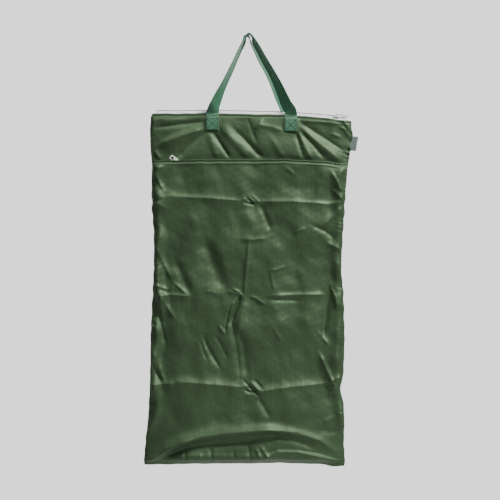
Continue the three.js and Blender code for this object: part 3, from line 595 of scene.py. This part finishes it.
# A ribbon of webbing along rows of length, x, z, turn and freedom. It turns from flat, facing
# the front, to edge on. Where it isn't free it is sewn on the panel that depth_at gives.
def ribbon(name, rows, side, depth_at):
    lengths = np.linspace(0, rows[-1, 0], 320)
    x, z, turn, free = (along(rows, lengths, column) for column in (1, 2, 3, 4))
    free = np.clip(free, 0, 1)
    sewn = free < 1e-4
    run_x, run_z = np.gradient(x, lengths), np.gradient(z, lengths)
    size = np.hypot(run_x, run_z)
    flat_x = np.where(sewn, np.sign(run_z), run_z / size)
    flat_z = np.where(sewn, 0, -run_x / size)
    turn = np.radians(np.clip(turn, -90, 90))
    wide = np.stack([flat_x * np.cos(turn), np.sin(turn), flat_z * np.cos(turn)], axis=-1)
    face = np.stack([flat_x * np.sin(turn), -np.cos(turn), flat_z * np.sin(turn)], axis=-1)
    hem_clear = float(depth_at(np.array(0.5), np.array(0.0))) + HANDLE_APART
    clear = lerp(hem_clear, 0.4 * MM, np.sqrt(free)) + WEBBING_WAVER * free * np.sin(lengths * 60)
    middle = np.stack([x, side * (WEBBING_WIDTH / 2 * np.abs(np.sin(turn)) + clear), z], axis=-1)
    across, off = webbing_section()
    cup = WEBBING_CUP * (2 * (2 * across / WEBBING_WIDTH) ** 2 - 1) * free[:, None]
    points = middle[:, None] + across[None, :, None] * wide[:, None]
    seat = depth_under(depth_at, points[..., 0], points[..., 2]) + HANDLE_SEAT + WEBBING / 2
    points[..., 1] = np.where(sewn[:, None], side * seat, points[..., 1])
    points = points + (off + cup)[..., None] * face[:, None]
    count = len(across)
    faces = grid_faces(len(lengths), count, flip=True, closed=True).tolist()
    last = (len(lengths) - 1) * count
    faces += [list(range(count)), list(range(last + count - 1, last - 1, -1))]
    item = new_object(name, points.reshape(-1, 3), faces)
    places = np.stack(np.broadcast_arrays(across[None, :], lengths[:, None]), axis=-1)
    places = places.reshape(-1, 2)
    corners = np.zeros(len(item.data.loops), int)
    item.data.loops.foreach_get("vertex_index", corners)
    weave = item.data.uv_layers.new(name="weave")
    weave.data.foreach_set("uv", places[corners].ravel())
    return item


# Stations of a handle: length, x, z, turn and freedom, from one patch over the bend to the
# other. Lean is 1 where the ribbon's inner face turns to the front, and -1 for its outer face.
def handle_rows(legs, spacing, shift, bend_x, lean):
    def leg(side):
        x = shift + side * spacing / 2
        hem = float(panel_z(across_at(x, 0), 0))
        rows = [(x, hem + share * PATCH_LENGTH, 0, 0) for share in (-1, -0.66, -0.33, 0)]
        for down, left, right in legs[side]:
            middle = ((left + right) / 2 - HANG_PIXEL[0]) * PIXEL
            z = (HANG_PIXEL[1] - down) * PIXEL
            turn = math.acos(min(1, (right - left) * PIXEL / WEBBING_WIDTH))
            rows.append((middle, z, lean * math.degrees(turn), 1 - z / hem))
        return rows
    radius = HOOK_RADIUS + WEBBING / 2
    bend = []
    for degrees in (-60, -30, 0, 30, 60):
        angle = math.radians(degrees)
        x, z = bend_x + radius * math.sin(angle), radius * math.cos(angle) - HOOK_RADIUS
        bend.append((x, z, lean * 90, 1))
    rows = np.array(leg(-1) + bend + leg(1)[::-1])
    steps = np.hypot(np.diff(rows[:, 0]), np.diff(rows[:, 1]))
    return np.column_stack([np.concatenate([[0], np.cumsum(steps)]), rows])


# Distances along a line of points, and the points at some of them
def distances(line):
    return np.concatenate([[0], np.cumsum(np.linalg.norm(np.diff(line, axis=0), axis=1))])


def points_at(line, starts, places):
    return np.stack([np.interp(places, starts, line[:, axis]) for axis in range(3)], axis=-1)


# Short raised stitches of thread along a line of points on a surface, all in one mesh
def stitches(name, lines, pitch=3.1 * MM, size=2.3 * MM, thread=0.42 * MM):
    rings = [(-0.5, 0.15), (-0.36, 0.9), (0, 1), (0.36, 0.9), (0.5, 0.15)]
    sides = np.linspace(0, 2 * math.pi, 6, endpoint=False)
    points, faces = [], []
    one = grid_faces(len(rings), len(sides), closed=True)
    for line, normal in lines:
        starts = distances(line)
        for k in range(max(1, int(starts[-1] / pitch))):
            place = (k + 0.5) * pitch
            a, b = points_at(line, starts, [place - size / 2, place + size / 2])
            run = (b - a) / max(np.linalg.norm(b - a), 1e-9)
            up = np.array(normal, float)
            up -= up.dot(run) * run
            up /= np.linalg.norm(up)
            wide = np.cross(run, up)
            base = len(points)
            for share, radius in rings:
                for turn in sides:
                    out = 0.8 * math.cos(turn) * wide + 0.55 * math.sin(turn) * up
                    points.append((a + b) / 2 + share * (b - a) + thread * radius * out)
            faces.extend((one + base).tolist())
    return new_object(name, points, faces)


# A zip's coil: one wire that winds along a line of points, ten steps to a turn
def zip_coil(name, line, half_height, half_depth, pitch, wire):
    starts = distances(line)
    steps = np.arange(int(starts[-1] / pitch) * 10 + 1)
    middle = points_at(line, starts, steps / 10 * pitch)
    angle = 2 * math.pi * steps / 10
    middle[:, 1] += half_depth * np.cos(angle)
    middle[:, 2] += half_height * np.sin(angle)
    out = np.stack([0 * angle, np.cos(angle), np.sin(angle)], axis=-1)
    along_x = np.array([1.0, 0, 0])
    points = []
    for turn in np.linspace(0, 2 * math.pi, 5, endpoint=False):
        points.append(middle + wire * (math.cos(turn) * out + math.sin(turn) * along_x))
    points = np.stack(points, axis=1).reshape(-1, 3)
    return new_object(name, points, grid_faces(len(steps), 5, closed=True))


# A thin closed strip between two faces on one grid: near, then far, each rows by columns by 3
def strip(name, near, far):
    rows, columns = near.shape[:2]
    points = np.concatenate([near.reshape(-1, 3), far.reshape(-1, 3)])
    count = rows * columns
    faces = grid_faces(rows, columns).tolist()
    faces += (grid_faces(rows, columns, flip=True) + count).tolist()
    index = np.arange(count).reshape(rows, columns)
    ring = [index[0], index[1:, -1], index[-1, -2::-1], index[-2:0:-1, 0]]
    ring = np.concatenate(ring).tolist()
    for a, b in zip(ring, ring[1:] + ring[:1]):
        faces.append([b, a, a + count, b + count])
    return new_object(name, points, faces)


# A metal part of the CAD model with its edges worn round
def worn_copy(name, node, width):
    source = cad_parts[node]
    item = bpy.data.objects.new(name, source.data.copy())
    bpy.context.collection.objects.link(item)
    mesh = bmesh.new()
    mesh.from_mesh(item.data)
    bmesh.ops.remove_doubles(mesh, verts=mesh.verts, dist=1e-6)
    bmesh.ops.dissolve_limit(mesh, angle_limit=math.radians(1), verts=mesh.verts, edges=mesh.edges)
    sharp = [e for e in mesh.edges if e.is_manifold and e.calc_face_angle(0) > math.radians(25)]
    bmesh.ops.bevel(
        mesh, geom=sharp, offset=width, segments=3, profile=0.6, affect="EDGES", clamp_overlap=True
    )
    mesh.to_mesh(item.data)
    mesh.free()
    item.data.polygons.foreach_set("use_smooth", [True] * len(item.data.polygons))
    item.data.set_sharp_from_angle(angle=math.radians(35))
    return item


# Node materials: each input of a node is linked to an output, or set to a value
def set_inputs(tree, item, inputs):
    for key, value in inputs.items():
        if isinstance(value, bpy.types.NodeSocket):
            tree.links.new(value, item.inputs[key])
        else:
            item.inputs[key].default_value = value


def node(tree, kind, inputs=None, **settings):
    item = tree.nodes.new(kind)
    for key, value in settings.items():
        setattr(item, key, value)
    set_inputs(tree, item, inputs or {})
    return item


def new_material(name, color):
    material = bpy.data.materials.new(name)
    material.use_nodes = True
    material.diffuse_color = (*color, 1)
    tree = material.node_tree
    shader = tree.nodes["Principled BSDF"]
    shader.inputs["Base Color"].default_value = (*color, 1)
    return material, tree, shader


def coordinates(tree, kind="Object"):
    return node(tree, "ShaderNodeTexCoord").outputs[kind]


def noise(tree, place, scale, detail=3.0, roughness=0.5):
    inputs = {"Vector": place, "Scale": scale, "Detail": detail, "Roughness": roughness}
    return node(tree, "ShaderNodeTexNoise", inputs).outputs["Fac"]


# Threads that run across one axis, a pitch apart: at scale 1 the bands are pi / 10 apart
def threads(tree, place, axis, pitch, distortion=0.0):
    inputs = {"Vector": place, "Scale": math.pi / 10 / pitch, "Distortion": distortion}
    wave = node(tree, "ShaderNodeTexWave", inputs, wave_type="BANDS", bands_direction=axis)
    return wave.outputs["Fac"]


def ramp(tree, factor, stops):
    item = node(tree, "ShaderNodeValToRGB", {"Fac": factor})
    elements = item.color_ramp.elements
    while len(elements) < len(stops):
        elements.new(0.5)
    for element, (position, color) in zip(elements, stops):
        element.position = position
        element.color = (*color, 1)
    return item.outputs["Color"]


def mixed(tree, share, a, b, blend="MIX"):
    inputs = {0: share, 6: a, 7: b}
    return node(tree, "ShaderNodeMix", inputs, data_type="RGBA", blend_type=blend).outputs[2]


def spread(tree, value, low, high):
    inputs = {"Value": value, "To Min": low, "To Max": high}
    return node(tree, "ShaderNodeMapRange", inputs).outputs["Result"]


def bump(tree, height, distance, strength=1.0, normal=None):
    inputs = {"Height": height, "Distance": distance, "Strength": strength}
    if normal is not None:
        inputs["Normal"] = normal
    return node(tree, "ShaderNodeBump", inputs).outputs["Normal"]


def shades(color, share):
    return tuple(min(1.0, channel * share) for channel in color)


# A colour with soft darker and lighter patches
def mottled(tree, patches, color, dark, light, low=0.3):
    return ramp(tree, patches, [(low, shades(color, dark)), (0.7, shades(color, light))])


# Coated satin cloth: fine crossed threads, soft creasing, painted shade in the creases and a
# painted highlight on the crests
def cloth_material():
    color = (0.0272, 0.0495, 0.0243)
    material, tree, shader = new_material("coated_cloth", color)
    place = coordinates(tree)
    blotches = ramp(tree, noise(tree, place, 14, 5, 0.6), [
        (0.25, shades(color, 0.88)), (0.55, color), (0.8, shades(color, 1.14)),
    ])
    flecks = ramp(tree, noise(tree, place, 1300, 2), [(0.3, (0.86,) * 3), (0.7, (1.12,) * 3)])
    woven = mixed(tree, 0.6, blotches, flecks, "MULTIPLY")
    crest = node(tree, "ShaderNodeNewGeometry").outputs["Pointiness"]
    # Painted shade and highlight: by pointiness, the colour darkens in the hollows and lightens on
    # the crests
    crease_shade_and_crest_highlight = ramp(tree, crest, [(0.47, (0.9,) * 3), (0.5, (1, 1, 1)), (0.56, (1.22,) * 3)])
    warp = threads(tree, place, "X", 0.45 * MM, 0.4)
    weft = threads(tree, place, "Z", 0.45 * MM, 0.4)
    weave = mixed(tree, 0.5, warp, weft)
    fine = bump(tree, weave, 0.03 * MM, 0.6)
    upright = node(tree, "ShaderNodeMapping", {"Vector": place, "Scale": (1, 1, 0.45)})
    crumpled = noise(tree, upright.outputs["Vector"], 75, 6, 0.6)
    set_inputs(tree, shader, {
        "Base Color": mixed(tree, 1.0, woven, crease_shade_and_crest_highlight, "MULTIPLY"),
        "Roughness": spread(tree, noise(tree, place, 22, 4), 0.48, 0.62),
        "Normal": bump(tree, crumpled, 1.1 * MM, 0.6, fine),
        "Metallic": 0.12, "Specular IOR Level": 0.6, "Specular Tint": (0.72, 1, 0.6, 1),
        "Sheen Weight": 0.08, "Sheen Roughness": 0.45, "Sheen Tint": (0.7, 1, 0.6, 1),
    })
    return material


# Webbing: ribs along its length crossed by the weft, in its own width and length, with painted
# shade in the grooves between the ribs
def webbing_material():
    color = (0.03, 0.124, 0.06)
    material, tree, shader = new_material("webbing", color)
    place = coordinates(tree, "UV")
    ribs = threads(tree, place, "X", 1.9 * MM)
    weft = threads(tree, place, "Y", 1.1 * MM, 1.2)
    tone = mottled(tree, noise(tree, place, 160, 4), color, 0.84, 1.18)
    # Painted shade: the colour darkens in the low grooves between the ribs
    groove_shade = ramp(tree, ribs, [(0.0, (0.66,) * 3), (0.6, (1.05,) * 3)])
    fine = bump(tree, weft, 0.05 * MM, 0.5)
    set_inputs(tree, shader, {
        "Base Color": mixed(tree, 0.9, tone, groove_shade, "MULTIPLY"),
        "Roughness": spread(tree, noise(tree, place, 300, 3), 0.45, 0.65),
        "Normal": bump(tree, ribs, 0.14 * MM, 0.6, fine),
        "Sheen Weight": 0.25, "Sheen Roughness": 0.4, "Sheen Tint": (0.7, 1, 0.85, 1),
    })
    return material


# Thread, tape and label cloth: one colour with fine threads across one axis, and painted shade in
# the grooves between the threads
def woven_material(name, color, roughness, pitch, axis="X", depth=0.08 * MM):
    material, tree, shader = new_material(name, color)
    place = coordinates(tree)
    tone = mottled(tree, noise(tree, place, 220, 4), color, 0.88, 1.08)
    rows = threads(tree, place, axis, pitch, 0.6)
    # Painted shade: the colour darkens in the low grooves between the threads
    groove_shade = ramp(tree, rows, [(0.0, (0.82,) * 3), (0.5, (1, 1, 1))])
    rough = noise(tree, place, 90, 3)
    set_inputs(tree, shader, {
        "Base Color": mixed(tree, 1.0, tone, groove_shade, "MULTIPLY"),
        "Roughness": spread(tree, rough, roughness - 0.08, roughness + 0.08),
        "Normal": bump(tree, rows, depth, 0.8),
        "Sheen Weight": 0.15,
    })
    return material


# Plated metal with fine rubbing marks
def metal_material():
    color = (0.84, 0.84, 0.83)
    material, tree, shader = new_material("plated_metal", color)
    place = coordinates(tree)
    marks = noise(tree, place, 1800, 3)
    set_inputs(tree, shader, {
        "Base Color": mottled(tree, noise(tree, place, 260, 6), color, 0.8, 1.1, low=0.35),
        "Roughness": spread(tree, marks, 0.2, 0.42),
        "Normal": bump(tree, marks, 0.02 * MM, 0.4),
        "Metallic": 0.3,
    })
    return material


def floor_material():
    color = (0.62, 0.62, 0.61)
    material, tree, shader = new_material("pale_floor", color)
    tone = mottled(tree, noise(tree, coordinates(tree), 6, 5), color, 0.96, 1.03)
    set_inputs(tree, shader, {"Base Color": tone, "Roughness": 0.7})
    return material


# Puts a piece's material and body on it, and hides the CAD nodes that it stands for
def dress(item, material, slot, *nodes, body="bag"):
    item.data.materials.clear()
    item.data.materials.append(material)
    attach(item, body)
    if nodes:
        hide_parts(*nodes)
    return item


# Places on a panel's outer face, or off it
def place_on(depth_at, side, across, down, off=0.0):
    y = side * (depth_at(across, down) + off)
    return np.stack([panel_x(across, down), y, panel_z(across, down)], axis=-1)


# Materials
CLOTH_LOOK = cloth_material()
WEBBING_LOOK = webbing_material()
THREAD_LOOK = woven_material("green_thread", (0.03, 0.062, 0.033), 0.5, 0.5 * MM)
# The patch thread is dark green, darkened further as painted shade of the dents that the stitches
# press into the webbing
PATCH_THREAD_AND_DENT_SHADE_LOOK = woven_material("patch_thread_dent_shade", (0.006, 0.028, 0.015), 0.6, 0.5 * MM)
TAPE_LOOK = woven_material("zip_tape_cloth", (0.84, 0.86, 0.85), 0.7, 0.9 * MM)
COIL_LOOK = woven_material("zip_coil_nylon", (0.12, 0.125, 0.13), 0.4, 0.6 * MM, depth=0.01 * MM)
TAG_LOOK = woven_material("tag_cloth", (0.085, 0.125, 0.104), 0.75, 0.6 * MM, axis="Z")
METAL_LOOK = metal_material()

# The three sheets of cloth
FINE, PLAIN = 1.65 * MM, 2.6 * MM
foot = BAG_HEIGHT
front = panel(
    "front_cloth", front_depth, -1,
    stations(0, (6 * MM, 0.8 * MM), (POCKET_DROP + 14 * MM, 1.7 * MM), (foot - 6 * MM, 12 * MM)),
    HEM_TURN, FINE, LINING_INSET,
)
pocket = panel(
    "pocket_cloth", pocket_depth, -1,
    stations(
        POCKET_DROP, (POCKET_DROP + 11 * MM, 0.7 * MM), (foot - 11 * MM, FINE),
        (foot - EDGE_ROUND, 1 * MM), (foot, 0.4 * MM),
    ),
    LIP_FOLD, FINE,
)
back = panel(
    "back_cloth", back_depth, 1,
    stations(
        0, (8 * MM, 0.9 * MM), (foot - 11 * MM, PLAIN),
        (foot - EDGE_ROUND, 1.2 * MM), (foot, 0.5 * MM),
    ),
    HEM_TURN, PLAIN,
)
dress(front, CLOTH_LOOK, "cloth", "front_panel")
dress(pocket, CLOTH_LOOK, "cloth", "pocket_panel")
dress(back, CLOTH_LOOK, "cloth", "back_panel")


# Seams in the bag's own thread: the hem, the pocket's lip and the foot
def seam_line(depth_at, side, down):
    across = np.linspace(0.006, 0.994, 320)
    return place_on(depth_at, side, across, 0 * across + down), (0, side, 0)


hem_down = HEM_STITCH / BAG_HEIGHT
lip_down = (POCKET_DROP + LIP_GROOVE) / BAG_HEIGHT
foot_down = 1 - BOTTOM_STITCH / BAG_HEIGHT
hem_seam = stitches("hem_stitches", [
    seam_line(front_depth, -1, hem_down), seam_line(back_depth, 1, hem_down),
])
lip_seam = stitches("lip_stitches", [seam_line(pocket_depth, -1, lip_down)])
foot_seam = stitches("foot_stitches", [
    seam_line(pocket_depth, -1, foot_down), seam_line(back_depth, 1, foot_down),
])
for seam in (hem_seam, lip_seam, foot_seam):
    dress(seam, THREAD_LOOK, "cloth")

# Handles
handle_front = ribbon(
    "handle_webbing_front",
    handle_rows(FRONT_LEGS, FRONT_SPACING, FRONT_SHIFT, FRONT_BEND_X, 1), -1, front_depth,
)
handle_back = ribbon(
    "handle_webbing_back",
    handle_rows(BACK_LEGS, BACK_SPACING, BACK_SHIFT, BACK_BEND_X, -1), 1, back_depth,
)
dress(handle_front, WEBBING_LOOK, "webbing", "handle_front")
dress(handle_back, WEBBING_LOOK, "webbing", "handle_back")


# The stitched box and cross that hold a patch: two bars, a box under them and its diagonals
def patch_lines(middle, side, depth_at):
    hem = float(panel_z(across_at(middle, 0), 0))
    half = WEBBING_WIDTH / 2 - PATCH_SEAM_INSET
    first, second, last = (hem - drop for drop in PATCH_SEAMS)
    left, right = middle - half, middle + half
    ends = [
        ((left, first), (right, first)), ((left, second), (right, second)),
        ((left, last), (right, last)), ((left, first), (left, last)),
        ((right, first), (right, last)), ((left, second), (right, last)),
        ((right, second), (left, last)),
    ]
    lines = []
    for a, b in ends:
        x, z = np.linspace(a[0], b[0], 24), np.linspace(a[1], b[1], 24)
        y = side * (depth_under(depth_at, x, z) + WEBBING + 0.2 * MM)
        lines.append((np.stack([x, y, z], axis=-1), (0, side, 0)))
    return lines


patches = []
for leg in (-0.5, 0.5):
    patches += patch_lines(FRONT_SHIFT + leg * FRONT_SPACING, -1, front_depth)
    patches += patch_lines(BACK_SHIFT + leg * BACK_SPACING, 1, back_depth)
patch_seam = stitches("patch_stitches", patches, pitch=2.9 * MM, size=2.6 * MM, thread=0.8 * MM)
dress(patch_seam, PATCH_THREAD_AND_DENT_SHADE_LOOK, "webbing")


# The top zip: two tapes that stand out of the hem and lean together under the coil
def hem_place(across, rise, y):
    return np.stack([panel_x(across, 0 * across), y, panel_z(across, 0 * across) + rise], axis=-1)


def tape_strip(name, side):
    across = np.linspace(zip_end, 1 - zip_end, 190)[None, :]
    rise = np.array([-TAPE_LAP, -4 * MM, 0, 1.5 * MM, 3 * MM, 4 * MM, TAPE_SHOW])[:, None]
    rise = rise + 0 * across
    across = across + 0 * rise
    lean = 0.7 * MM * smoothstep(0, TAPE_SHOW, rise)
    wavy = 0.18 * MM * waves(across * BAG_WIDTH, rise, 34 * MM, 71)
    inner = ZIP_CENTRE_GAP / 2 - lean + wavy * smoothstep(-2 * MM, 1 * MM, rise) * side
    near = hem_place(across, rise, side * (inner + TAPE))
    return strip(name, near, hem_place(across, rise, side * inner))


zip_end = ZIP_END_MARGIN / BAG_WIDTH
for side, where in ((-1, "front"), (1, "back")):
    dress(tape_strip(f"zip_cloth_{where}", side), TAPE_LOOK, "zip_tape", f"zip_tape_{where}")
coil_across = np.linspace(zip_end, 1 - zip_end, 200)
coil = zip_coil(
    "zip_teeth", hem_place(coil_across, COIL_RISE, 0 * coil_across),
    0.9 * MM, 1.05 * MM, 1.25 * MM, COIL_WIRE,
)
dress(coil, COIL_LOOK, "zip_coil", "zip_coil")

# The pocket's zip behind its lip
zip_down = POCKET_ZIP_DROP / BAG_HEIGHT
pocket_zip_end = POCKET_ZIP_MARGIN / BAG_WIDTH
tape_across = np.linspace(pocket_zip_end, 1 - pocket_zip_end, 160)[None, :]
tape_down = zip_down + np.linspace(-0.5, 0.5, 7)[:, None] * POCKET_TAPE / BAG_HEIGHT
tape_down = tape_down + 0 * tape_across
tape_across = tape_across + 0 * tape_down
tape_near, tape_far = (
    place_on(front_depth, -1, tape_across, tape_down, off) for off in (0.4 * MM + TAPE, 0.4 * MM)
)
dress(strip("pocket_zip_cloth", tape_near, tape_far), TAPE_LOOK, "zip_tape", "pocket_zip_tape")
coil_across = np.linspace(POCKET_COIL_START / BAG_WIDTH, 1 - pocket_zip_end, 200)
pocket_coil = zip_coil(
    "pocket_zip_teeth",
    place_on(front_depth, -1, coil_across, 0 * coil_across + zip_down, 2.2 * MM),
    2.1 * MM, 0.5 * MM, 1.3 * MM, COIL_WIRE,
)
dress(pocket_coil, COIL_LOOK, "zip_coil", "pocket_zip_coil")

# Metal: both sliders and both pulls keep the CAD model's shapes, with worn edges
WORN_EDGE = 0.3 * MM
for metal in ("zip_slider", "zip_pull", "pocket_zip_slider", "pocket_zip_pull"):
    body = "pull" if metal == "zip_pull" else "bag"
    dress(worn_copy(f"{metal}_metal", metal, WORN_EDGE), METAL_LOOK, "metal", metal, body=body)

# The side tag: a label folded in two, sewn into the side seam and left bare
reach = TAG_REACH - TAG_FOLD
turns = np.linspace(-math.pi / 2, math.pi / 2, 7)[1:-1]
leaf = np.linspace(-3 * MM, reach, 10)
out = np.concatenate([leaf, reach + TAG_FOLD * np.cos(turns), leaf[::-1]])
apart = np.concatenate([
    np.full(10, -TAG_FOLD), TAG_FOLD * np.sin(turns), np.full(10, TAG_FOLD),
])
fall = np.linspace(0, 1, 16)[:, None]
tag_down = (TAG_DROP + TAG_LENGTH * fall) / BAG_HEIGHT + 0 * out
bend = -1.4 * MM * (np.clip(out / TAG_REACH, 0, 1) ** 2) * (0.3 + 0.7 * fall)


def tag_face(off):
    x = panel_x(1.0, tag_down) + out + 0 * fall
    y = bend + apart * (1 + off) + 0 * fall
    return np.stack([x, y, panel_z(1.0, tag_down) - 0.06 * out], axis=-1)


dress(strip("tag_label", tag_face(0.25), tag_face(-0.25)), TAG_LOOK, "tag", "side_tag")

# Floor, out of the photograph's frame
FLOOR_Z = -1.24
bpy.ops.mesh.primitive_circle_add(
    vertices=96, radius=1.25, fill_type="NGON", location=(0, 0, FLOOR_Z)
)
floor = bpy.context.object
floor.name = "floor"
floor.data.materials.append(floor_material())


# Soft light: a large key at the upper right, a weak fill at the left, and a pale surround
def area_light(name, place, size, power):
    light = bpy.data.lights.new(name, "AREA")
    light.size = size
    light.energy = power
    item = bpy.data.objects.new(name, light)
    item.location = place
    item.rotation_euler = (BAG_MIDDLE - Vector(place)).to_track_quat("-Z", "Y").to_euler()
    bpy.context.collection.objects.link(item)


BAG_MIDDLE = Vector((0, 0, -0.45))
area_light("key", (1.95, -1.5, 2.15), 1.1, 285)
area_light("fill", (-0.9, -1.5, 2.1), 1.6, 42)

world = bpy.data.worlds.new("surround")
bpy.context.scene.world = world
world.use_nodes = True
tree = world.node_tree
direction = node(tree, "ShaderNodeSeparateXYZ", {"Vector": coordinates(tree, "Generated")})
toward_wall = spread(tree, direction.outputs["Y"], 0, 1)
surround = ramp(tree, toward_wall, [(0.55, (0.075, 0.075, 0.078)), (0.94, (1, 1, 1.01))])
set_inputs(tree, tree.nodes["Background"], {"Color": surround, "Strength": 1.6})

# Camera at the photograph's angle: level and straight on, 500 pixels across
DISTANCE, SENSOR, FRAME_PIXELS = 2.5, 36, 500
camera = bpy.data.objects.new("camera", bpy.data.cameras.new("camera"))
bpy.context.collection.objects.link(camera)
camera.data.sensor_width = SENSOR
camera.data.lens = SENSOR * DISTANCE / (FRAME_PIXELS * PIXEL)
camera.location = (
    (FRAME_PIXELS / 2 - HANG_PIXEL[0]) * PIXEL, -DISTANCE - 15 * MM,
    (HANG_PIXEL[1] - FRAME_PIXELS / 2) * PIXEL,
)
camera.rotation_euler = (math.pi / 2, 0, 0)
bpy.context.scene.camera = camera
